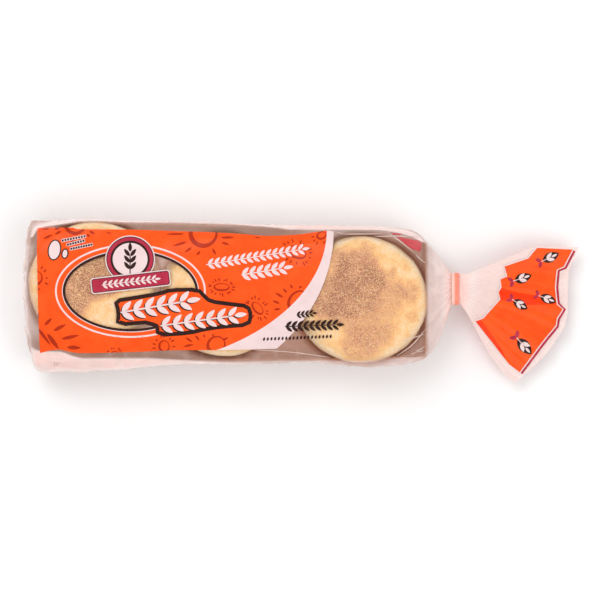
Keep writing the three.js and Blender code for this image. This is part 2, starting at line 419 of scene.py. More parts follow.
# ---- Contents: muffins ----------------------------------------------------------------
def make_muffin(name, muffin, base, seed, patches):
    """One muffin: two flat griddled faces and a soft rounded side, all slightly uneven."""
    middle_x, middle_y, radius, oval = muffin
    segments, face_rings, side_rings = 168, 46, 40
    edge, half = 10.0, MUFFIN_HEIGHT / 2
    flat = np.linspace(0.03, 1, face_rings, endpoint=False) ** 0.9 * (radius - edge)
    turn = np.linspace(0, np.pi, side_rings)
    side = radius - edge + edge * np.sin(turn) ** 0.85
    side_up = half * np.sign(np.cos(turn)) * np.abs(np.cos(turn)) ** 0.8
    out = np.concatenate([flat, side, flat[::-1]])
    up = np.concatenate([np.full(face_rings, half), side_up, np.full(face_rings, -half)])
    angle = np.linspace(0, 2 * np.pi, segments, endpoint=False)
    ring = np.stack([np.cos(angle), np.sin(angle), np.zeros(segments)], axis=-1)

    wobble = layered_noise(ring * 1.6 + seed * 3.7, 1.0, seed) - 0.5
    share = out[:, None] / radius
    reach = out[:, None] * (1 + 0.03 * wobble[None] * share)
    points = np.stack([reach * ring[None, :, 0] * (1 + oval), reach * ring[None, :, 1] * (1 - oval),
                       np.repeat(up[:, None], segments, axis=1)], axis=-1)
    normals = grid_normals(points, wrap=True)
    on_face = step(np.abs(points[..., 2]) / half, 0.55, 0.98)
    place = points + (seed * 97.0, seed * 31.0, 0)

    # A slight crown, slow waves, pores on the faces and soft dimples on the side.
    points[..., 2] += 0.9 * np.sign(points[..., 2]) * on_face * (0.6 - share**2)
    waves = 1.5 * (layered_noise(place, 17, seed + 1) - 0.5)
    pores = ridges(place, 2.6, seed + 2, 1.0) ** 0.5 - 0.6
    crumb = noise(place, 1.3, seed + 3) - 0.5
    dimples = layered_noise(place, 7, seed + 4) - 0.5
    bump = on_face * (waves + 0.34 * pores + 0.3 * crumb) + (1 - on_face) * dimples
    # The fork-split line round the side.
    split = np.exp(-((points[..., 2] + 1.2 * dimples) / 0.8) ** 2) * (1 - on_face)
    bump = bump - 0.7 * split
    points = points + normals * bump[..., None]

    uneven = layered_noise(place, 14, seed + 5) - 0.5
    toast = np.full(points.shape[:2], 0.12)
    for x, y, size, strength in patches:
        away = np.hypot(points[..., 0] - x, points[..., 1] - y) / size + 0.8 * uneven
        toast = np.maximum(toast, strength * (1 - step(away, 0.55, 1.15)))
    toast = toast * on_face * (0.55 + 0.8 * layered_noise(place, 11, seed + 6))
    spots = 0.2 * on_face * step(layered_noise(place, 9, seed + 8), 0.55, 0.85)
    toast = np.clip(toast + spots, 0, 1)

    points = points + (middle_x, middle_y, base + half)
    rows = len(out)
    flat_points = points.reshape(-1, 3)
    top, bottom = flat_points[:segments].mean(0), flat_points[-segments:].mean(0)
    faces = grid_faces(rows, segments, wrap=True, flip=True).tolist()
    n = len(flat_points)
    last = (rows - 1) * segments
    for j in range(segments):
        k = (j + 1) % segments
        faces.append([n, j, k])
        faces.append([n + 1, last + k, last + j])
    flat_points = np.vstack([flat_points, top, bottom])
    marks = {"toast": np.append(toast.ravel(), [toast[0].mean(), toast[-1].mean()])}
    return make_piece(name, flat_points, faces, bread, "muffin", marks=marks)


# Toasted patches of the muffins, the same in both layers: place from a muffin's middle, size and
# strength.
PATCHES = [
    [(-6, 9, 29, 0.95), (-26, -6, 17, 0.85), (-17, -11, 17, 0.85), (8, 24, 15, 0.6)],
    [(14, -6, 22, 0.55), (-8, 14, 16, 0.35), (-26, -2, 13, 0.4)],
    [(1, 9, 31, 1.0), (-23, 4, 22, 0.9), (5, -18, 29, 0.6), (-4, -36, 12, 0.55),
     (-16, 29, 9, 0.5), (36, -12, 7, 0.4), (18, 2, 24, 0.55)],
]
muffins = []
for layer, (row, base) in zip(("upper", "lower"), LAYERS):
    for number, muffin in enumerate(row):
        muffins.append(make_muffin(f"muffin_{layer}_{number + 1}", muffin, base, len(muffins) + 1,
                                   PATCHES[number]))


# ---- Contents: cornmeal ---------------------------------------------------------------
def surface_tree(piece):
    """A tree that finds where a straight line meets the piece."""
    mesh = piece.data
    points = [tuple(v.co) for v in mesh.vertices]
    return BVHTree.FromPolygons(points, [tuple(p.vertices) for p in mesh.polygons])


ABOVE, BELOW = 80.0, -10.0     # heights clear of the pack on either side


def drop_onto(tree, x, y, down=True):
    """The place and normal where a line straight down (or up) through x, y first meets it."""
    x, y, z = to_frame((x, y, ABOVE if down else BELOW))
    place, normal, _, _ = tree.ray_cast(Vector((x, y, z)), Vector((0, 0, -1 if down else 1)))
    if place is None:
        return None, None
    place = (np.array(place) - PACK_ORIGIN) / MM
    normal = np.array(normal)
    if (normal[2] < 0) == down:
        normal = -normal
    return place, normal


def grain_shape(rng, size):
    """A small angular grain: a squashed octahedron with uneven corners."""
    corners = np.array([[1, 0, 0], [-1, 0, 0], [0, 1, 0], [0, -1, 0], [0, 0, 1], [0, 0, -1]])
    corners = corners * rng.uniform(0.65, 1.25, (6, 1)) + rng.uniform(-0.18, 0.18, (6, 3))
    return corners * size * np.array([1.0, 0.8, 0.55])


GRAIN_FACES = np.array([[0, 2, 4], [2, 1, 4], [1, 3, 4], [3, 0, 4],
                        [2, 0, 5], [1, 2, 5], [3, 1, 5], [0, 3, 5]])
GRAIN_SIZES = (0.2, 0.55)      # half lengths
GRAINS_EACH = 3200             # on each upper muffin
GRAIN_REACH = 0.97             # share of a muffin's radius that they lie on
GRAIN_LIFT = 0.08              # of a grain's middle above the crumb


def make_cornmeal():
    """Grains of meal on the upper faces of the muffins, thicker over the toasted parts."""
    rng = np.random.default_rng(11)
    grains = []
    for piece, (cx, cy, radius, _), patches in zip(muffins[:3], UPPER_MUFFINS, PATCHES):
        tree = surface_tree(piece)
        placed = 0
        while placed < GRAINS_EACH:
            angle = rng.uniform(0, 2 * np.pi)
            reach = radius * GRAIN_REACH * np.sqrt(rng.uniform())
            x, y = reach * np.cos(angle), reach * np.sin(angle)
            away = min(np.hypot(x - px, y - py) / size for px, py, size, _ in patches)
            thick = noise(np.array([[x + 50 * cx, y, 0.0]]), 7.0, 21)[0]
            if rng.uniform() > (1.0 - 0.65 * away) * (0.2 + 1.2 * thick) + 0.07:
                continue
            place, normal = drop_onto(tree, cx + x, cy + y)
            if place is None:
                continue
            spin = rng.uniform(0, 2 * np.pi)
            turn = np.array([[np.cos(spin), -np.sin(spin), 0], [np.sin(spin), np.cos(spin), 0],
                             [0, 0, 1]])
            grain = grain_shape(rng, rng.uniform(*GRAIN_SIZES)) @ turn.T
            grains.append((grain + place + normal * GRAIN_LIFT, GRAIN_FACES))
            placed += 1
    return make_piece("cornmeal", *joined(grains), meal, "cornmeal", smooth=False)


make_cornmeal()


# ---- Contents: board tray -------------------------------------------------------------
def tray_edges(x, z):
    """The tray's near and far faces at x, which lean in towards its floor."""
    lean = WALL_LEAN * (1 - np.clip(z / WALL_HEIGHT, 0, 1))
    return along(TRAY_NEAR, x) + lean, along(TRAY_FAR, x) - lean


def board_panel(corners, rng, across, up, bow):
    """A sheet between four corners, bowed and a little uneven."""
    a, b, c, d = (np.array(corner, float) for corner in corners)
    s, t = np.meshgrid(np.linspace(0, 1, across), np.linspace(0, 1, up), indexing="xy")
    sheet = ((1 - s) * (1 - t))[..., None] * a + (s * (1 - t))[..., None] * b
    sheet = sheet + (s * t)[..., None] * c + ((1 - s) * t)[..., None] * d
    uneven = noise(sheet * (1, 40, 1) + rng.uniform(0, 50), 34.0, 5) - 0.5
    sheet[..., 0] += bow * np.sin(np.pi * s) * t
    sheet[..., 1] += 0.012 * uneven * t * np.sin(np.pi * s)
    return sheet.reshape(-1, 3), grid_faces(up, across)


def in_tray(points):
    """Points whose y runs from -1 to 1 across the tray, placed between its leaning walls."""
    near, far = tray_edges(points[:, 0], points[:, 2])
    middle, half = (near + far) / 2, (far - near) / 2
    return np.column_stack([points[:, 0], middle + half * points[:, 1], points[:, 2]])


def make_tray():
    """A low tray: a floor, four walls that lean out, and glued tabs inside the corners."""
    rng = np.random.default_rng(3)
    low, high = 0.7, WALL_HEIGHT
    start, end = TRAY_START + 0.4, TRAY_END - 0.8
    panels, outside = [], []

    def panel(corners, across, up, bow=0.0, faces_out=(0, 0)):
        points, faces = board_panel(corners, rng, across, up, bow)
        count = len(points)
        sheet = in_tray(points)
        grid = sheet.reshape(up, across, 3)
        normals = grid_normals(grid, wrap=False).reshape(-1, 3)
        both = np.vstack([sheet, sheet - normals * BOARD])
        rim = np.concatenate([
            np.arange(across), np.arange(1, up) * across + across - 1,
            (up - 1) * across + np.arange(across - 2, -1, -1), np.arange(up - 2, 0, -1) * across,
        ])
        following = np.roll(rim, -1)
        edge = np.stack([following, rim, rim + count, following + count], axis=1)
        panels.append((both, np.vstack([faces, faces[:, ::-1] + count, edge])))
        outside.append(np.repeat(faces_out, count))

    left, right = start + WALL_LEAN, end - WALL_LEAN
    panel([(left, -1, low), (right, -1, low), (right, 1, low), (left, 1, low)], 60, 12,
          faces_out=(0, 1))
    for side in (-1, 1):
        a, b = ((left, right) if side < 0 else (right, left))
        c, d = ((start, end) if side < 0 else (end, start))
        panel([(a, side, low), (b, side, low), (d, side, high), (c, side, high)], 90, 10,
              faces_out=(1, 0))
    panel([(right, -1, low), (right, 1, low), (end, 1, high), (end, -1, high)], 30, 10,
          faces_out=(1, 0))
    panel([(left, 1, low), (left, -1, low), (start, -1, high), (start, 1, high)], 30, 10,
          1.2, (1, 0))
    # Tabs folded from the end walls, glued inside the long walls.
    for side in (-1, 1):
        for foot, top, way in [(left, start, 1), (right, end, -1)]:
            y = side * 0.972
            inner, outer = foot + way * 16, foot + way * 1.2
            corners = [(outer, y, 1.6), (inner, y, 1.6), (inner, y, high - 5),
                       (outer - way * 1.6, y, high - 1.4)]
            if side * way > 0:
                corners = [corners[1], corners[0], corners[3], corners[2]]
            panel(corners, 10, 8)
    # outside marks the outer faces, which the board's material darkens as painted shade.
    return make_piece("tray", *joined(panels), board, "tray_board", smooth=False,
                      marks={"outside": np.concatenate(outside)})


make_tray()


# ---- Film: the filled part of the bag ---------------------------------------------------
# Room between the film and what it holds, when pulled tight, made finer and wrinkled.
TIGHT_ROOM, FINE_ROOM, WRINKLED_ROOM = 0.9, 0.6, 0.35
TIGHT_ROUNDS, FINE_ROUNDS = 70, 5      # how often each of the first two is pulled tight
FILM_COLUMNS, FINER_BY = 96, 3         # points round the tight film, and how much finer it gets
END_DEPTH = 11.0                       # of the rounded sealed end, along x
FLOOR_ROOM = 0.25                      # least height of the film above the floor
# Share of the way round a section: underside, corner, side, corner, top, corner, side, corner.
PARTS = [0.25, 0.07, 0.11, 0.07, 0.25, 0.07, 0.11, 0.07]


def section_weights(columns):
    """For each column round a section, how it is made of half width, half height and radius."""
    share = np.arange(columns) / columns
    starts = np.cumsum([0] + PARTS)
    part = np.clip(np.searchsorted(starts, share, side="right") - 1, 0, 7)
    t = (share - starts[part]) / np.array(PARTS)[part]
    corner = part % 2 == 1         # a corner turns a quarter, from the angle given for it here
    angle = np.radians([0, -90, 0, 0, 0, 90, 0, 180])[part] + np.pi / 2 * t
    sweep = 2 * t - 1
    across = np.select([part == 0, part == 4, np.isin(part, (1, 2, 3))], [sweep, -sweep, 1.0], -1.0)
    up = np.select([part == 2, part == 6, np.isin(part, (3, 4, 5))], [sweep, -sweep, 1.0], -1.0)
    beside = np.select([part == 2, part == 6], [1.0, -1.0], 0.0)
    above = np.select([part == 0, part == 4], [-1.0, 1.0], 0.0)
    round_across = np.where(corner, np.cos(angle), beside)
    round_up = np.where(corner, np.sin(angle), above)
    return across, up, round_across, round_up


def rim_gap(x, y, muffin):
    """How far x, y is outside a muffin's rim, negative inside it."""
    middle_x, middle_y, radius, oval = muffin
    return np.hypot((x - middle_x) / (1 + oval), (y - middle_y) / (1 - oval)) - radius


def upper_gap(x, y):
    return np.min([rim_gap(x, y, muffin) for muffin in UPPER_MUFFINS], axis=0)


def film_shape(x, columns):
    """The CAD model's outer form, as a grid: one row for each x and one column round it."""
    across, up, round_across, round_up = section_weights(columns)
    far, near = along(FAR_SIDE, x)[:, None], along(NEAR_SIDE, x)[:, None]
    low, high = along(UNDERSIDE, x)[:, None], along(TOPSIDE, x)[:, None]
    width, height = (far - near) / 2, (high - low) / 2
    radius = np.minimum(BODY_CORNER, np.minimum(width, height) * 0.98)
    y = (far + near) / 2 + across * (width - radius) + round_across * radius
    lift = up * (height - radius) + round_up * radius
    held = np.clip(y, along(TRAY_NEAR, x)[:, None] - 0.4, along(TRAY_FAR, x)[:, None] + 0.6)
    y = y + (held - y) * (lift / height) ** 2
    xs = np.broadcast_to(x[:, None], y.shape)
    gap = upper_gap(xs, y)
    filled = (high - low) / PACK_HEIGHT
    dip = np.where(lift > 0, FILM_DIP * step(gap, 0, DIP_REACH) * filled * lift / height, 0)
    return np.stack([xs, y, low + height + lift - dip], axis=-1)


def distance_to_contents(p):
    """How far points are outside the muffins and the tray, negative inside them."""
    gaps, soft = [], 8.0
    for row, base in LAYERS:
        for muffin in row:
            out = rim_gap(p[..., 0], p[..., 1], muffin) + soft
            up = np.abs(p[..., 2] - base - MUFFIN_HEIGHT / 2) - (MUFFIN_HEIGHT / 2 - soft)
            outside = np.hypot(np.maximum(out, 0), np.maximum(up, 0))
            gaps.append(outside + np.minimum(np.maximum(out, up), 0) - soft)
    lean = WALL_LEAN * (1 - np.clip(p[..., 2] / WALL_HEIGHT, 0, 1))
    along_x = np.abs(p[..., 0] - (TRAY_START + TRAY_END) / 2) - (TRAY_END - TRAY_START) / 2 + lean
    near, far = tray_edges(p[..., 0], p[..., 2])
    along_y = np.maximum(near - p[..., 1], p[..., 1] - far)
    along_z = np.abs(p[..., 2] - WALL_HEIGHT / 2) - WALL_HEIGHT / 2
    box = np.stack([along_x, along_y, along_z], axis=-1)
    gaps.append(np.linalg.norm(np.maximum(box, 0), axis=-1) + np.minimum(box.max(-1), 0))
    return np.min(gaps, axis=0)


def keep_outside(p, room):
    """Moves points that are nearer to the contents than room straight out of them."""
    gap = distance_to_contents(p)
    close = gap < room
    if not close.any():
        return p
    q = p[close]
    small = 0.05
    ahead, behind = [[distance_to_contents(q + way * axis) for axis in np.eye(3)]
                     for way in (small, -small)]
    slope = (np.stack(ahead, axis=-1) - np.stack(behind, axis=-1)) / (2 * small)
    slope = slope / np.maximum(np.linalg.norm(slope, axis=-1, keepdims=True), 1e-6)
    p = p.copy()
    p[close] = q + slope * (room - gap[close])[:, None]
    return p


def pull_tight(p, rounds, room, held_rows):
    """Film under tension: each point moves towards its neighbours but stays off the contents."""
    fixed = p[held_rows].copy()
    for _ in range(rounds):
        beside = (np.roll(p, -1, axis=1) + np.roll(p, 1, axis=1)) / 2
        before_after = beside.copy()
        before_after[1:-1] = (p[2:] + p[:-2]) / 2
        target = (beside + before_after) / 2
        p = p + 0.7 * (target - p)
        p = keep_outside(p, room)
        p[..., 2] = np.maximum(p[..., 2], FLOOR_ROOM)
        p[held_rows] = fixed
    return p


def finer(p, factor):
    """The same closed grid with factor times the rows and columns."""
    rows, columns = p.shape[:2]
    i = np.linspace(0, rows - 1, (rows - 1) * factor + 1)
    i0 = np.minimum(i.astype(int), rows - 2)
    f = (i - i0)[:, None, None]
    p = p[i0] * (1 - f) + p[i0 + 1] * f
    j = np.arange(columns * factor) / factor
    j0 = j.astype(int)
    g = (j - j0)[None, :, None]
    return p[:, j0] * (1 - g) + p[:, (j0 + 1) % columns] * g


def film_grid():
    """The body film, from the sealed end's fold to the far side of the neck."""
    end_x = END_DEPTH * (1 - np.cos(np.linspace(0, np.pi / 2, 9)))
    body_x = np.linspace(END_DEPTH, SHOULDER, 60)[1:]
    shoulder_x = np.linspace(SHOULDER, NECK_START, 15)[1:]
    neck_x = np.array([NECK_START + 2.2, NECK_END - 2.2, NECK_END + 0.6])
    x = np.concatenate([end_x, body_x, shoulder_x, neck_x])
    coarse = film_shape(x, FILM_COLUMNS)
    # Close the sealed end: rows that shrink to a level fold line across the end.
    first = coarse[0]
    middle = first.mean(0)
    closing = []
    for share in (0.0, 0.35, 0.7):
        row = middle + (first - middle) * np.array([1, 0.8 + 0.2 * share, share])
        row[:, 0] = -0.1 * (1 - share)
        closing.append(row)
    coarse = np.concatenate([np.array(closing), coarse])
    # The first rows, at the fold, and the last ones, at the neck, are held while it is pulled.
    held = np.r_[0:2, len(coarse) - 6 : len(coarse)]
    tight = pull_tight(coarse, TIGHT_ROUNDS, TIGHT_ROOM, held)
    loose = 0.42 + 0.5 * step(coarse[..., 0], 292, 302)
    flap = step(-coarse[..., 1], 47, 50) * (1 - 0.35 * step(coarse[..., 0], 80, 120))
    loose = np.maximum(loose, 0.95 * flap)
    shape = tight + (coarse - tight) * loose[..., None]
    fine = finer(shape, FINER_BY)
    held = np.r_[0:4, len(fine) - 8 : len(fine)]
    return pull_tight(keep_outside(fine, FINE_ROOM), FINE_ROUNDS, FINE_ROOM, held)


def triangle_wave(t):
    """Straight folds from -1 to 1 and back for each whole step of t."""
    return 1 - 4 * np.abs(t - np.floor(t) - 0.5)


def wrinkle(p):
    """Creases: pleats run to the neck, the sealed end is crumpled, the sides are rumpled."""
    rows, columns = p.shape[:2]
    normals = grid_normals(p, wrap=True)
    x, y, z = p[..., 0], p[..., 1], p[..., 2]
    share = np.broadcast_to(np.arange(columns) / columns, x.shape)
    drift = 0.35 * (noise(np.stack([x, share * 30, x * 0], -1), 14.0, 31) - 0.5)
    shoulder = step(x, 281, 305)
    neck = step(x, 300, 311)
    pleats = 0.55 * triangle_wave(11 * share + drift)
    pleats = pleats + 0.35 * triangle_wave(19 * share - drift + 0.3)
    tight_pleats = triangle_wave(27 * share + 0.5 * drift)
    bump = shoulder * (1 - 0.6 * neck) * 0.95 * pleats + neck * 0.3 * tight_pleats
    end = 1 - step(x, 6, 26)
    bump = bump + end * (1.3 * ridges(p, 17, 41, 3) - 0.5 + 0.4 * ridges(p, 6, 42, 4))
    on_side = step(np.abs(y - TRAY_Y), 38, 48) * (1 - step(x, 286, 300))
    stretched = p * np.array([1.0, 0.4, 0.35])
    rumples = 0.75 * ridges(stretched, 9, 43, 3) + 0.35 * ridges(p, 4.5, 44, 4) - 0.3
    bump = bump + on_side * rumples
    on_top = step(z, 44, 54) * (1 - step(x, SHOULDER, 296)) * step(x, 10, 30)
    lengthwise = p * np.array([0.35, 1.0, 0.5])
    free = 0.2 + 0.8 * step(upper_gap(x, y), -8, 8)
    bump = bump + on_top * free * 0.5 * (ridges(lengthwise, 8, 45, 4) - 0.3)
    end_face = 1 - step(x, 3, 9)
    end_pleats = 1.1 * ridges(p * np.array([1.0, 1.0, 0.4]), 9, 47, 3)
    crease = np.clip(bump + end_face * end_pleats, 0, 1)
    bump = bump + end_face * (end_pleats - 1.3)
    moved = p + normals * bump[..., None]
    moved = keep_outside(moved, WRINKLED_ROOM)
    moved[..., 0] = np.maximum(moved[..., 0], 0.05 + 0.02 * x)
    moved[..., 2] = np.maximum(moved[..., 2], 0.2)
    return moved, crease


# Beyond these lines the loose film at the pack's sides is milky.
MILKY_FAR = [
    (0, 38), (8, 40), (12, 46), (34, 49.5), (44, 50.9), (70, 50.6), (130, 49.9), (150, 49.2),
    (170, 47.8), (186, 46.3), (194, 45.2), (222, 45.0), (256, 45.1), (270, 43.6), (281, 41.0),
    (292, 36),
]
MILKY_NEAR = [
    (0, -36), (13, -42.5), (27.7, -42.9), (36.8, -46), (46, -48), (86, -47.9), (119, -49.3),
    (151, -50.7), (184, -50.0), (224, -49.4), (257, -48.6), (275, -47), (296, -47.3),
]


def milkiness(p, crease):
    """How milky the film is: clear where it is taut, cloudy where it is folded or loose."""
    x, y, z = p[..., 0], p[..., 1], p[..., 2]
    slack = step(upper_gap(x, y), 0, 6) * step(z, 24, 36) * (1 - step(x, 290, 296))
    between = step(upper_gap(x, y), -4, 0) * (1 - step(np.abs(y), 28, 40)) * (1 - step(x, 130, 160))
    slack = slack * (1 + 0.5 * step(x, 190, 215) * step(y, 34, 40))
    milk = 0.02 + 0.1 * crease + 0.25 * slack + 0.2 * between
    milk = milk + 0.6 * step(x, 292.5, 296.5) + 0.12 * step(x, 296, 303) + 0.2 * step(x, 303, 313)
    end_face, high = 1 - step(x, 1.5, 6.5), step(z, 32, 44)
    milk = milk + end_face * (0.26 * high + 0.32 * crease * (1 - high))
    # Loose at the sides: milkiest high up, where the film turns over, and hazy lower down.
    far_out = 0.62 * step(y - along(MILKY_FAR, x), -0.6, 1.2)
    near_out = (0.3 + 0.34 * (1 - step(x, 100, 190))) * step(along(MILKY_NEAR, x) - y, -0.6, 1.6)
    beside = np.maximum(far_out, near_out) * (0.5 + 0.5 * step(z, 26, 44))
    low = (1 - step(z, 24, 40)) * (1 - step(x, 288, 297)) * (0.3 + 0.16 * noise(p, 22, 71))
    low = low * (1 - 0.5 * end_face)
    milk = milk + np.maximum(beside, low)
    return np.clip(milk, 0, 0.95)


def make_film_body():
    shape, crease = wrinkle(film_grid())
    rows, columns = shape.shape[:2]
    faces = grid_faces(rows, columns, wrap=True)
    return make_piece("film_body", shape.reshape(-1, 3), faces, film, "film",
                      marks={"milk": milkiness(shape, crease)})


film_body = make_film_body()
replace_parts(film_body, "bag")


# ---- Film: the tail ---------------------------------------------------------------------
def curve_through(points, share):
    """Points at share (0 to 1) of the way along a smooth curve through points."""
    points = np.array(points, float)
    steps = np.linalg.norm(np.diff(points, axis=0), axis=1)
    at = np.concatenate([[0], np.cumsum(steps)]) / steps.sum()
    return np.stack([along(list(zip(at, points[:, k])), share) for k in range(2)], axis=-1)


TAIL_ROOT = [(NECK_END, NECK_Y + NECK_HALF_WIDTH), (NECK_END, NECK_Y - NECK_HALF_WIDTH)]
TAIL_FAR = [TAIL_ROOT[0], (324, 12.9), (328.1, 14.4), (337, 18.0), (345.8, 21.7), (354.7, 25.4),
            (363.6, 29.1), (372.5, 32.6), (377, 33.4), (390, 33.2), (407, 33)]
TAIL_NEAR = [TAIL_ROOT[1], (323.7, -14.7), (328.1, -22), (332.6, -30.6), (337, -38.6),
             (341.4, -46), (345.8, -52), (350.3, -57.8), (354.7, -63), (359.6, -66.8)]
TAIL_MOUTH = [(407, 33), (403.8, 25), (399.6, 16.2), (399.2, 11), (398.7, 1.4), (398.6, -13),
              (397.2, -22), (391.3, -33.8), (382.5, -45.5), (370.8, -57.3), (359.6, -66.8)]


def tail_plan(out, over):
    """Where the tail lies from above: out from neck to mouth, over from far to near edge."""
    far, near = curve_through(TAIL_FAR, out), curve_through(TAIL_NEAR, out)
    mouth = curve_through(TAIL_MOUTH, over)
    o, v = out[..., None], over[..., None]
    root = np.array(TAIL_ROOT[0]) * (1 - v) + np.array(TAIL_ROOT[1]) * v
    corners = root * (1 - o) + (np.array(TAIL_FAR[-1]) * (1 - v) + np.array(TAIL_NEAR[-1]) * v) * o
    return far * (1 - v) + near * v + root * (1 - o) + mouth * o - corners


def tail_folds(out, over, phase):
    """Height of the tail's pleats: fine ones at the neck run together into a few broad ones."""
    drift = 0.05 * np.sin(5.1 * over + phase)
    broad = 0.6 * triangle_wave(4.6 * over + drift + 0.12) + 0.4 * triangle_wave(7.3 * over + phase)
    fine = triangle_wave(17 * over + phase)
    return broad * 3.2 * out**1.1 + fine * 0.2 * (1 - step(out, 0.05, 0.5))


def tail_layer(rows, columns, side, phase):
    out, over = np.meshgrid(np.linspace(-0.02, 1, rows), np.linspace(0, 1, columns), indexing="ij")
    out_in = np.maximum(out, 0)
    plan = tail_plan(out_in, over)
    plan[..., 0] += np.minimum(out, 0) * 90
    flat = np.sqrt(np.clip(1 - (2 * over - 1) ** 2, 0, 1))
    open_by = (NECK_HALF_HEIGHT - 0.5) * (1 - step(out_in, 0, 0.35)) + 0.35 + 1.6 * out_in**2
    folds = tail_folds(out_in, over, 0.4) * (0.25 + 0.75 * flat)
    ripple = 0.3 * ridges(np.stack([plan[..., 0], plan[..., 1], over * 0 + phase], -1), 13, 51, 3)
    z = NECK_Z - TAIL_DROOP * out_in**1.6 + folds + side * flat * (open_by + ripple * out_in)
    return np.concatenate([plan, z[..., None]], axis=-1), out, over


def make_film_tail():
    rows, columns = 70, 200
    layers, milk = [], []
    for side, phase in ((1, 0.0), (-1, 3.0)):
        grid, out, over = tail_layer(rows, columns, side, phase)
        normals = grid_normals(grid, wrap=False)
        folds = np.abs(np.gradient(tail_folds(np.maximum(out, 0), over, 0.4), axis=1))
        milk.append(0.6 + 0.35 * (1 - step(out, 0, 0.25)) + 0.12 * step(folds, 0.02, 0.3))
        layers.append((grid.reshape(-1, 3), grid_faces(rows, columns, flip=side > 0)))
    return make_piece("film_tail", *joined(layers), film, "film",
                      marks={"milk": np.concatenate(milk).ravel()})


film_tail = make_film_tail()


# ---- Neck band --------------------------------------------------------------------------
def make_neck_band():
    """A strip of tape wound round the flat neck, crinkled a little by the film's folds."""
    columns, gap, thickness, length = 160, 0.35, 0.7, 5.5
    across, up, round_across, round_up = section_weights(columns)
    width, height = NECK_HALF_WIDTH + gap, NECK_HALF_HEIGHT + gap
    radius = height * 0.98
    inner = np.stack([across * (width - radius) + round_across * radius,
                      up * (height - radius) + round_up * radius], axis=-1)
    outward = left_of(np.roll(inner, 1, axis=0) - np.roll(inner, -1, axis=0))
    profile = [(0.0, 0.1), (0.0, 0.6), (0.03, 0.92), (0.1, 1.0)]
    profile += [(t, 1.0) for t in np.linspace(0.15, 0.85, 9)]
    profile += [(0.9, 1.0), (0.97, 0.92), (1.0, 0.6), (1.0, 0.1), (0.8, 0.0), (0.2, 0.0)]
    middle = (NECK_START + NECK_END) / 2
    grid = []
    for share, raise_by in profile:
        x = middle + (share - 0.5) * length
        ring = inner + outward * (raise_by * thickness)
        ring = np.column_stack([np.full(columns, x), ring[:, 0] + NECK_Y, ring[:, 1] + NECK_Z])
        crinkle = (noise(ring * (0.5, 1, 1), 1.7, 61) - 0.5) * 0.35 * min(raise_by * 2, 1)
        ring[:, 1:] += outward * crinkle[:, None]
        grid.append(ring)
    grid = np.array(grid)
    rows = len(grid)
    faces = grid_faces(rows, columns, wrap=True).tolist()
    last = (rows - 1) * columns
    for j in range(columns):
        k = (j + 1) % columns
        faces.append([last + j, last + k, k, j])
    pale = 0.9 * (1 - step(grid[..., 0] - middle, -0.9, -0.1))
    return make_piece("tape_band", grid.reshape(-1, 3), faces, tape, "neck_tape",
                      marks={"pale": pale.ravel()})


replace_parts(make_neck_band(), "neck_band")


# ---- Print: flat shapes ------------------------------------------------------------------
def turned(points, turn, x=0.0, y=0.0):
    """Points turned about the origin by turn degrees and then moved by x, y."""
    c, s = math.cos(math.radians(turn)), math.sin(math.radians(turn))
    return np.asarray(points, float) @ np.array([[c, s], [-s, c]]) + (x, y)


def ellipse(x, y, a, b, turn=0.0, start=0.0, end=360.0, count=96):
    """Points of an ellipse, or of the part of it between two angles in degrees."""
    closed = abs(end - start) >= 360
    angle = np.radians(np.linspace(start, end, count, endpoint=not closed))
    return turned(np.column_stack([a * np.cos(angle), b * np.sin(angle)]), turn, x, y)


def oval_line(x, y, a, b, width, turn=0.0, lean=0.0, count=96):
    """An oval line as two outlines. With lean, it is thicker on one side, as if drawn by hand."""
    inner = ellipse(x + lean * width * 0.3, y + lean * width * 0.35, a - width, b - width, turn,
                    count=count)
    return [ellipse(x, y, a, b, turn, count=count), inner]


def bar(x, y, width, height, turn, corner):
    """A rectangle with round corners whose middle is at x, y."""
    points = []
    for k, (sx, sy) in enumerate([(1, 1), (-1, 1), (-1, -1), (1, -1)]):
        middle = (sx * (width / 2 - corner), sy * (height / 2 - corner))
        points.append(ellipse(*middle, corner, corner, 0, 90 * k, 90 * k + 90, 5))
    return turned(np.concatenate(points), turn, x, y)


def kernel(x, y, length, width, turn):
    """A grain of wheat that starts at x, y and points along turn: blunt, then pointed."""
    t = np.linspace(0, 1, 14)
    half = width / 2 * np.sin(np.pi * t**0.85) ** 0.75
    outline = np.concatenate([np.column_stack([t * length, half]),
                              np.column_stack([t[-2:0:-1] * length, -half[-2:0:-1]])])
    return turned(outline, turn, x, y)


def stroke(x0, y0, x1, y1, width):
    """A short brush stroke from one point to another."""
    turn = math.degrees(math.atan2(y1 - y0, x1 - x0))
    return kernel(x0, y0, math.hypot(x1 - x0, y1 - y0), width, turn)


def ribbon(points, width):
    """A thin strip along a smooth line, pointed at both ends."""
    t = np.linspace(0, 1, 24)
    line = curve_through(points, t)
    half = (width * np.sin(np.pi * (0.03 + 0.94 * t)) ** 0.5)[:, None]
    side = left_of(np.gradient(line, axis=0)) * half
    return np.concatenate([line + side, (line - side)[::-1]])


def kernel_row(start, end, count, length, width, turn):
    """Grains set side by side in a slanting row."""
    start, end = np.array(start, float), np.array(end, float)
    back = turned([(-length / 2, 0)], turn)[0]
    spots = [start + (end - start) * k / (count - 1) + back for k in range(count)]
    return [[kernel(x, y, length, width, turn)] for x, y in spots]


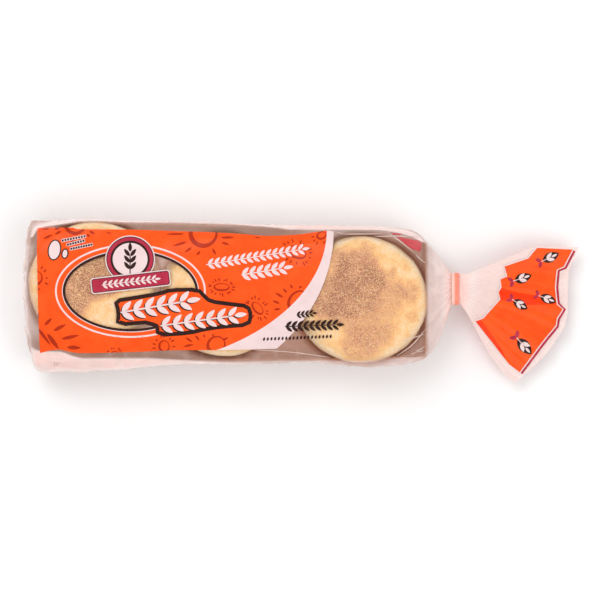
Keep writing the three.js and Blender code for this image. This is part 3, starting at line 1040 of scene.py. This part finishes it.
def wheat_ear(start, end, pairs, spread, length, width, turn=40):
    """An ear of wheat from start to end: a stem with pairs of grains and one at the tip."""
    start, end = np.array(start, float), np.array(end, float)
    run = end - start
    heading = math.degrees(math.atan2(run[1], run[0]))
    size = np.linalg.norm(run)
    foot, last = size * spread[0], size - length * spread[1]
    shapes = [[turned(bar(last / 2, 0, last, width * 0.3, 0, width * 0.1), heading, *start)]]
    for along_stem in np.linspace(foot, last, pairs):
        for side in (-1, 1):
            place = turned([(along_stem, side * width * 0.1)], heading, *start)[0]
            shapes.append([kernel(*place, length, width, heading + side * turn)])
    tip = turned([(size - length, 0)], heading, *start)[0]
    return shapes + [[kernel(*tip, length, width, heading)]]


def ear_row(start, end, height, pairs):
    """A wheat ear that lies along a line and is about as high as height."""
    length = height * 0.76
    return wheat_ear(start, end, pairs, (0.02, 1.5), length, length * 0.4)


def rounded(points, rounds=2):
    """The same closed outline with its corners cut and cut again until they are soft."""
    points = np.array(points, float)
    for _ in range(rounds):
        following = np.roll(points, -1, axis=0)
        cut = [0.75 * points + 0.25 * following, 0.25 * points + 0.75 * following]
        points = np.stack(cut, axis=1).reshape(-1, 2)
    return points


def moved_in(points, by):
    """A closed outline, drawn anticlockwise, moved inwards by the same distance all round."""
    return points + left_of(np.roll(points, -1, axis=0) - np.roll(points, 1, axis=0)) * by


def inside(points, loops):
    """True for points that an odd number of the outlines go round."""
    x, y = points[:, 0], points[:, 1]
    odd = np.zeros(len(points), bool)
    for loop in loops:
        following = np.roll(loop, -1, axis=0)
        for (ax, ay), (bx, by) in zip(loop, following):
            if ay == by:
                continue
            crosses = (ay > y) != (by > y)
            odd ^= crosses & (x < (bx - ax) * (y - ay) / (by - ay) + ax)
    return odd


def densify(loop, spacing):
    """The same closed outline with more points, none further apart than spacing."""
    points = []
    for start, end in zip(loop, np.roll(loop, -1, axis=0)):
        count = max(1, math.ceil(np.linalg.norm(end - start) / spacing))
        points.append(start + (end - start) * (np.arange(count) / count)[:, None])
    return np.concatenate(points)


def flat_patch(loops, spacing, within=None):
    """Triangles that fill the outlines evenly, so that they can follow a curved film."""
    loops = [densify(np.asarray(loop, float), spacing) for loop in loops]
    low, high = np.concatenate(loops).min(0), np.concatenate(loops).max(0)
    limits = [densify(np.asarray(within, float), spacing * 3)] if within is not None else []
    outline = np.concatenate(loops + limits)
    edges, start = [], 0
    for loop in loops + limits:
        edges += [(start + i, start + (i + 1) % len(loop)) for i in range(len(loop))]
        start += len(loop)
    inner = [np.zeros((0, 2))]
    for row, y in enumerate(np.arange(low[1] + spacing / 2, high[1], spacing * 0.866)):
        xs = np.arange(low[0] + spacing * (0.5 + 0.5 * (row % 2)), high[0], spacing)
        inner.append(np.column_stack([xs, np.full(len(xs), y)]))
    inner = np.concatenate(inner)
    inner = inner[inside(inner, loops)]
    far = np.ones(len(inner), bool)
    for point in outline:
        far &= np.abs(inner - point).max(1) > spacing * 0.45
    points = np.concatenate([outline, inner[far]])
    made = delaunay_2d_cdt([Vector(point) for point in points], edges, [], 0, 1e-7)
    verts = np.array([tuple(vert) for vert in made[0]])
    faces = np.array([face for face in made[2] if len(face) == 3])
    middles = verts[faces].mean(1)
    keep = inside(middles, loops)
    if within is not None:
        keep &= inside(middles, limits)
    used, faces = np.unique(faces[keep], return_inverse=True)
    return verts[used], faces.reshape(-1, 3)


LEVEL = 0.11                   # each layer of ink lies this much above the one below
SHAPE_LIFT = 0.0015            # and each shape in a layer this much above the last
FRONT_LIFT = 0.06              # from the film to the lowest ink on the front
TAIL_LIFT = 0.22               # and on the tail


def make_print(name, shapes, ink, slot, tree, spacing=1.3, down=True, base=FRONT_LIFT,
               within=None):
    """Ink on the film. shapes are (outlines, level); the outlines are laid onto the film."""
    patches = []
    for number, (loops, level) in enumerate(shapes):
        verts, triangles = flat_patch(loops, spacing, within)
        lift = base + LEVEL * level + SHAPE_LIFT * (number % 12)
        laid, known = np.zeros((len(verts), 3)), np.zeros(len(verts), bool)
        for k, (x, y) in enumerate(verts):
            place, normal = drop_onto(tree, x, y, down=down)
            if place is None:
                continue
            known[k] = True
            normal = normal + (0, 0, 1.5 if down else -1.5)
            laid[k] = place + normal / np.linalg.norm(normal) * lift
        used, triangles = np.unique(triangles[known[triangles].all(1)], return_inverse=True)
        triangles = triangles.reshape(-1, 3)
        patches.append((laid[used], triangles if down else triangles[:, ::-1]))
    return make_piece(name, *joined(patches), ink, slot)


def at_level(level, shapes):
    """The same level for each shape of a list."""
    return [(loops, level) for loops in shapes]


def sun(x, y, a, b, turn, line, rays, reach, ray_width, first=0.0):
    """A drawn sun: an oval ring with pointed strokes round it."""
    shapes = [oval_line(x, y, a, b, line, turn, count=48, lean=1.0)]
    for k in range(rays):
        angle = math.radians(first + 360 * (k + 0.25 * math.sin(2.6 * k)) / rays)
        out = np.array([math.cos(angle), math.sin(angle)])
        gap, length = 0.28 * min(a, b) + 0.6, reach * (0.85 + 0.25 * math.sin(4.1 * k + x))
        foot = out * (a + gap, b + gap)
        ends = turned([foot, foot + out * length], turn, x, y)
        shapes.append([stroke(*ends[0], *ends[1], ray_width)])
    return shapes


# ---- Print: the front of the pack ---------------------------------------------------------
WINDOW = (79.6, 0.6)
WINDOW_HALF = (49.0, 29.3)      # half axes of the black line round the window
OUTER_HALF = (54.6, 33.9)       # and of the white line outside it
BADGE = (79.4, 23.6)
BADGE_HALF = (18.0, 17.2)
LABEL_TOP = [(11.5, 46.5), (39.5, 46.5), (41, 45.4), (83, 45), (112.5, 44), (130, 43.5),
             (159, 42), (178, 40.6), (196.5, 41.2), (221.9, 44.6)]
LABEL_BOTTOM = [(13.5, -44.5), (23, -42.2), (28.5, -41.8), (33, -42.8), (43, -44.4),
                (86.5, -43.4), (115.5, -42.2), (141.5, -42.2)]


def edge_line(points, count):
    """Points along an edge of the label."""
    xs = np.linspace(points[0][0], points[-1][0], count)
    return np.column_stack([xs, along(points, xs)])


def label_sweep():
    """The right edge of the orange field: part of a wide ellipse."""
    return ellipse(61.3, 45.2, 160.6, 101.2, 0, -0.4, -59.8, 40)


def label_outline():
    sweep = label_sweep()
    return np.concatenate([sweep[:-1], edge_line(LABEL_BOTTOM, 50)[::-1],
                           edge_line(LABEL_TOP, 80)[:-1]])


def badge_shapes(white, black, red):
    """A round badge with an ear of wheat on cream, and a plain slanting bar below it."""
    bx, by = BADGE
    a, b = BADGE_HALF
    for ink, inset, level in [(white, 0, 4), (black, 0.8, 5), (red, 1.4, 6), (black, 3.8, 6.5),
                              (white, 5.4, 7)]:
        ink.append(([ellipse(bx, by, a - inset, b - inset)], level))
    black += at_level(8, wheat_ear((bx, by - 11.0), (bx, by + 12.2), 3, (0.17, 1.5), 6.6, 2.7, 38))
    tilt, middle = 6.5, (bx + 0.4, 7.2)
    for ink, width, height, corner, level in [(white, 58, 11.8, 2.4, 9), (red, 55.4, 9.2, 1.5, 11),
                                              (black, 56.4, 10.2, 1.8, 10)]:
        ink.append(([bar(*middle, width, height, tilt, corner)], level))
    ends = turned([(-21, 0), (22, 0)], tilt, *middle)
    white += at_level(12, ear_row(ends[0], ends[1], 5.6, 10))


def title_shapes(white, black, fills):
    """Two bold wheat ears on an orange plate with a heavy black edge."""
    plate = rounded([
        (67.0, -5.4), (84.7, -2.6), (101, 0.2), (108.3, 2.8), (129.4, 3.0), (134.0, -2.0),
        (138, -5.6), (151.7, -7.4), (165.6, -9.0), (168.6, -16.8), (166, -25.2), (146.3, -26.6),
        (133.6, -28.4), (122.7, -31.2), (98.2, -32.8), (97.4, -23.0), (68.8, -25.2), (69.8, -15),
    ][::-1], 1)
    black.append(([plate], 2.5))
    fills.append(([moved_in(densify(plate, 2.0), 2.9)], 3.2))
    rows = [ear_row((72.5, -15.0), (130.4, -5.0), 13.2, 6),
            ear_row((101.4, -24.6), (164.0, -16.0), 11.8, 7)]
    for shapes in rows:
        black += at_level(4, [[loops[0] + (-0.9, -0.7)] for loops in shapes])
        white += at_level(5, shapes)


def small_shapes(white, black):
    """Small wheat ears where a pack has its smaller words, and a disc near the corner."""
    for ink, start, end, height, pairs in [
        (white, (134.5, 19.6), (209.5, 31.6), 7.4, 15), (white, (160, 12.2), (197.5, 18.4), 9.2, 6),
        (black, (200, -16.8), (215, -15.2), 5, 4), (black, (191.5, -25.2), (234.5, -23.6), 7.4, 9),
    ]:
        ink += at_level(3, ear_row(start, end, height, pairs))
    black += at_level(3, kernel_row((176.4, -34.2), (224.6, -32.2), 19, 2.8, 1.5, 74))
    for x, y, a, b in [(24.6, 30.3, 4.9, 7.6), (32.2, 27.6, 2.6, 3.8)]:
        black.append(([ellipse(x, y, a, b, -9)], 2))
        white.append(([ellipse(x, y, a - 0.9, b - 0.9, -9)], 3))
    for start, end in [((30.6, 37.2), (46.4, 40.2)), ((34.4, 34.2), (45.6, 37.0)),
                       ((36.8, 31.2), (51.4, 34.2))]:
        row = np.linspace(start, end, 1 + round(math.dist(start, end) / 1.95))
        white += at_level(2, [[bar(*spot, 2.1, 2.3, 8, 0.3)] for spot in row])
        black += at_level(3, [[bar(*spot, 1.35, 1.5, 8, 0.2)] for spot in row])


# Suns: middle, half axes, turn, width of the line, and count, length and width of the rays.
# A ring alone has one ray too small to see.
SUNS = [
    (145.6, 3.4, 5.9, 2.9, 0, 1.0, 18, 2.8, 1.1), (171.6, -11.9, 5.6, 3.3, -50, 1.1, 15, 3.4, 1.1),
    (200.0, 28.6, 7.4, 4.6, -22, 1.2, 15, 3.4, 1.2), (217.9, 40.8, 3.8, 3.0, 20, 1.1, 11, 3.2, 1.2),
    (103.8, -39.6, 4.2, 4.6, 0, 1.2, 13, 3.0, 1.2), (141.6, -38.6, 7.2, 6.6, 30, 1.7, 1, 0.1, 0.1),
    (68.0, -45.0, 3.0, 2.2, 0, 0.9, 12, 2.0, 1.1), (11.0, 10.0, 5.1, 5.4, 0, 1.4, 11, 3.0, 1.3),
    (39.5, 50.0, 8.8, 8.8, 0, 1.8, 15, 4.8, 1.9), (132.2, 42.2, 10.6, 10.4, 0, 2.3, 1, 0.1, 0.1),
    (200.6, -6.6, 8.6, 6.6, 48, 1.7, 1, 0.1, 0.1),
]
# Longer strokes beside the larger suns: both ends and width.
STROKES = [
    (15, 45.2, 20.5, 45.8, 1.3), (16.5, 38.5, 23.5, 41.5, 1.5), (17.5, -24.2, 22.8, -19, 2.3),
    (24, -28.2, 33, -23.5, 2.7), (29.5, -34.2, 42.6, -31.4, 2.6), (33.5, -40.2, 43.6, -40.6, 3.0),
    (12.4, -14.5, 12.6, -20.5, 1.8), (12, -26, 21.6, -38.6, 2.3), (19.2, -30.2, 27.6, -41.6, 3.2),
    (62, 42.9, 66, 42.4, 0.9), (169.5, 39.3, 173.6, 39.3, 0.9), (118.4, 42.0, 105.0, 41.8, 1.6),
    (120.4, 36.2, 110.4, 33.2, 1.8), (124.0, 32.2, 118.8, 28.4, 1.8),
    (130.0, 29.4, 127.6, 26.4, 1.7), (139.0, 31.2, 141.6, 26.8, 1.8),
    (145.6, 35.8, 151.2, 34.2, 1.8), (145.4, 39.2, 154.8, 39.5, 1.8),
    (190.2, -4.0, 184.4, -0.6, 1.9), (193.0, -0.6, 190.0, 2.4, 1.8), (196.6, 2.4, 195.8, 5.4, 1.7),
    (201.6, 3.0, 203.8, 4.0, 1.7), (187.6, -8.4, 182.4, -6.4, 1.8),
    (188.0, -12.4, 183.6, -12.8, 1.8), (118.2, -39.6, 125.6, -38.0, 1.6),
    (119.6, -33.0, 124.8, -36.6, 1.6), (126.6, -31.6, 129.6, -35.2, 1.6),
    (132.6, -30.8, 133.4, -33.2, 1.4), (139.6, -30.4, 139.4, -32.6, 1.4),
    (146.4, -35.0, 150.6, -33.0, 1.6), (149.2, -39.6, 154.8, -39.8, 1.5),
]
# Painted highlights: pale streaks laid on the film along its creases beside the muffins and towards
# the neck.
CREASE_HIGHLIGHTS = [
    [(265.8, 43.0), (273.4, 37.8), (285.4, 28.2)], [(256.7, 40.0), (272, 40.4), (289, 40.2)],
    [(272.7, -46.3), (283.5, -38.6), (294.0, -26.4)],
    [(283.0, -45.4), (287.6, -43.4), (292.6, -42.6)],
    [(286.0, -42.6), (289.5, -41.8), (293.0, -39.6)], [(168, -41.8), (195, -43.6), (224, -47.4)],
    [(286.4, 27.0), (290.0, 23.4), (293.6, 21.0)], [(227, 44.0), (236, 41.8), (262, 42.0)],
    [(277, -36.4), (284, -33.4), (293, -30.6)],
]


def sun_shapes():
    """Drawn suns scattered over the orange, some cut off by its edge."""
    shapes = [shape for values in SUNS for shape in sun(*values)]
    return at_level(1.6, shapes + [[stroke(*values)] for values in STROKES])


def print_front(tree):
    sweep_in, sweep_out = label_sweep(), ellipse(91.1, 45.2, 135.8, 120.1, 0, -0.6, -46.0, 40)
    band = np.concatenate([sweep_in, [(141.5, -42.2)], sweep_out[::-1]])
    window = ellipse(*WINDOW, WINDOW_HALF[0] - 0.8, WINDOW_HALF[1] - 0.8)
    label = label_outline()
    make_print("print_orange_field", [([label, window], 1)], orange, "print_orange", tree, 1.2)

    black = [(oval_line(*WINDOW, *WINDOW_HALF, 1.8), 2)]
    white = [([band], 1.5), (oval_line(*WINDOW, *OUTER_HALF, 1.3), 2)]
    white.append((oval_line(*WINDOW, WINDOW_HALF[0] + 0.6, WINDOW_HALF[1] + 0.6, 0.55), 1.8))
    red, fills = [], []
    title_shapes(white, black, fills)
    badge_shapes(white, black, red)
    small_shapes(white, black)
    make_print("print_orange_plate", fills, orange, "print_orange", tree)
    make_print("print_white_front", white, white_ink, "print_white", tree)
    make_print("print_black_front", black, black_ink, "print_black", tree)
    make_print("print_crimson_front", red, crimson, "print_crimson", tree)
    make_print("print_suns_front", sun_shapes(), dark_orange, "print_dark_orange", tree,
               within=label)
    corner = [(272.4, 40.2), (280.6, 38.6), (289.2, 37.2), (291.0, 35.2), (290.4, 31.4),
              (288.9, 29.0), (282.8, 31.4), (277.6, 35.4)]
    sliver = [(268.6, 42.8), (276.4, 42.3), (275.0, 41.2), (270.4, 41.4)]
    make_print("print_crimson_side", [([corner], 1), ([sliver], 1)], faded_crimson,
               "print_crimson", tree)
    # Pale streaks of painted highlight along the film's creases.
    highlight_ribbons = [([ribbon(points, 0.32)], 1.3) for points in CREASE_HIGHLIGHTS]
    make_print("film_crease_highlights", highlight_ribbons, crease_highlight_ink, "film", tree)
    ticks = [[ellipse(24 + 1.8 * (k % 3), -51.8 - 1.5 * (k // 3), 0.6, 0.4, count=10)]
             for k in range(5)]
    make_print("print_grey_side", at_level(1, ticks), grey_ink, "print_black", tree)


print_front(surface_tree(film_body))


# ---- Print: the tail ----------------------------------------------------------------------
TAIL_LINE = [(402.2, 31.0), (395.7, 18.6), (390.6, 16.4), (389.1, 3.3), (390.6, -9.1),
             (394.9, -12.8), (390.6, -19.3), (389.8, -24.5), (377.4, -39.8), (363.5, -58.8)]
TAIL_INNER = [(355.5, -52.9), (345.3, -39.8), (330.7, -21.5), (336.5, -19.3), (348.9, -5.5),
              (347.5, -0.4), (349.7, 3.3), (348.9, 9.1), (354, 11.3), (351.9, 18.6),
              (369.4, 24.5), (376, 32.2)]


def strip_beside(points, near, far):
    """A strip that runs along an open line, between two distances to its left."""
    points = np.array(points, float)
    side = left_of(np.gradient(points, axis=0))
    return np.concatenate([points + side * near, (points + side * far)[::-1]])


def print_tail(tree, down):
    face = "front" if down else "back"

    def lay(colour, shapes, ink, slot):
        make_print(f"print_{colour}_tail_{face}", shapes, ink, slot, tree, 1.1, down, TAIL_LIFT)

    lay("orange", [([TAIL_LINE + TAIL_INNER], 1)], orange, "print_orange")
    # Deeper orange painted as shade in the valleys of the tail's folds and along its inner edge.
    fold = [(349.5, 3.0), (362, -0.6), (377, -2.6), (389.2, -4.4), (390.2, -9.0), (366, -9.6),
            (349.6, -5.6), (348.4, -0.4)]
    edge = [(330.9, -21.6), (334.4, -20.2), (342, -30), (350, -42), (353.4, -50), (345.5, -40)]
    lay("deep", at_level(1.6, [[fold], [edge]]), fold_shade_orange, "print_orange")
    lay("white", [([strip_beside(TAIL_LINE, 0.0, 0.9)], 1.8),
                  ([strip_beside(TAIL_INNER[2:], 0.0, 0.9)], 1.8)], white_ink, "print_white")
    red, black, cream = [([strip_beside(TAIL_LINE, 0.8, 2.5)], 1.8)], [], []
    for x, y, size, turn in [(379.0, 22.2, 13.0, 25), (358.2, 7.8, 13.0, 18),
                             (377.0, -2.6, 12.5, -20), (357.4, -5.4, 12.0, -32),
                             (361.0, -33.4, 15.0, -48)]:
        tip = turned([(size, 0)], turn, x, y)[0]
        black.append(([kernel(*turned([(1.4, 0)], turn, x, y)[0], size, size * 0.55, turn)], 3))
        cream += at_level(4, wheat_ear((x, y), tip, 3, (0.36, 1.5), size * 0.34, size * 0.13))
        for side in (-1, 1):
            red.append(([kernel(x, y, size * 0.36, size * 0.2, turn + side * 130)], 2.4))
    lay("crimson", red, crimson, "print_crimson")
    lay("black", black, black_ink, "print_black")
    lay("cream", cream, white_ink, "print_white")


tail_tree = surface_tree(film_tail)
print_tail(tail_tree, True)
print_tail(tail_tree, False)


# ---- Camera, light and floor ------------------------------------------------------------
FLOOR_SIZE = 4.0
CAMERA_HEIGHT = 3.5
SEEN_WIDTH = 0.4402            # what the picture's width covers, level with half the pack
FOCUS_HEIGHT = 0.03


def make_floor():
    mesh = bpy.data.meshes.new("floor")
    half = FLOOR_SIZE / 2
    mesh.from_pydata([(-half, -half, 0), (half, -half, 0), (half, half, 0), (-half, half, 0)],
                     [], [(0, 1, 2, 3)])
    n = Nodes("floor")
    shade = n.ramp(n.noise(300, 2), (0.3, 0.94), (0.7, 0.96))
    mesh.materials.append(n.surface(n.add("ShaderNodeBsdfPrincipled", {
        "Base Color": shade, "Roughness": 0.9, "Specular IOR Level": 0.1})))
    add_object("floor", mesh)


def add_light(name, place, size, power):
    data = bpy.data.lights.new(name, "AREA")
    data.shape = "SQUARE"
    data.size = size
    data.energy = power
    light = add_object(name, data)
    light.location = place
    light.rotation_euler = (-Vector(place)).to_track_quat("-Z", "Y").to_euler()


def make_studio():
    world = bpy.data.worlds.new("studio")
    bpy.context.scene.world = world
    world.use_nodes = True
    world.node_tree.nodes["Background"].inputs["Color"].default_value = (1, 1, 1, 1)
    world.node_tree.nodes["Background"].inputs["Strength"].default_value = 0.8
    add_light("key", (-1.0, 1.4, 2.6), 1.6, 26)
    add_light("fill", (1.4, -1.0, 2.4), 1.8, 16)


def make_camera():
    data = bpy.data.cameras.new("camera")
    data.sensor_width = 36
    data.lens = 36 * (CAMERA_HEIGHT - FOCUS_HEIGHT) / SEEN_WIDTH
    data.clip_end = 20
    camera = add_object("camera", data)
    camera.location = (0, -0.0007, CAMERA_HEIGHT)
    bpy.context.scene.camera = camera


make_floor()
make_studio()
make_camera()
bpy.context.scene.view_settings.view_transform = "Standard"
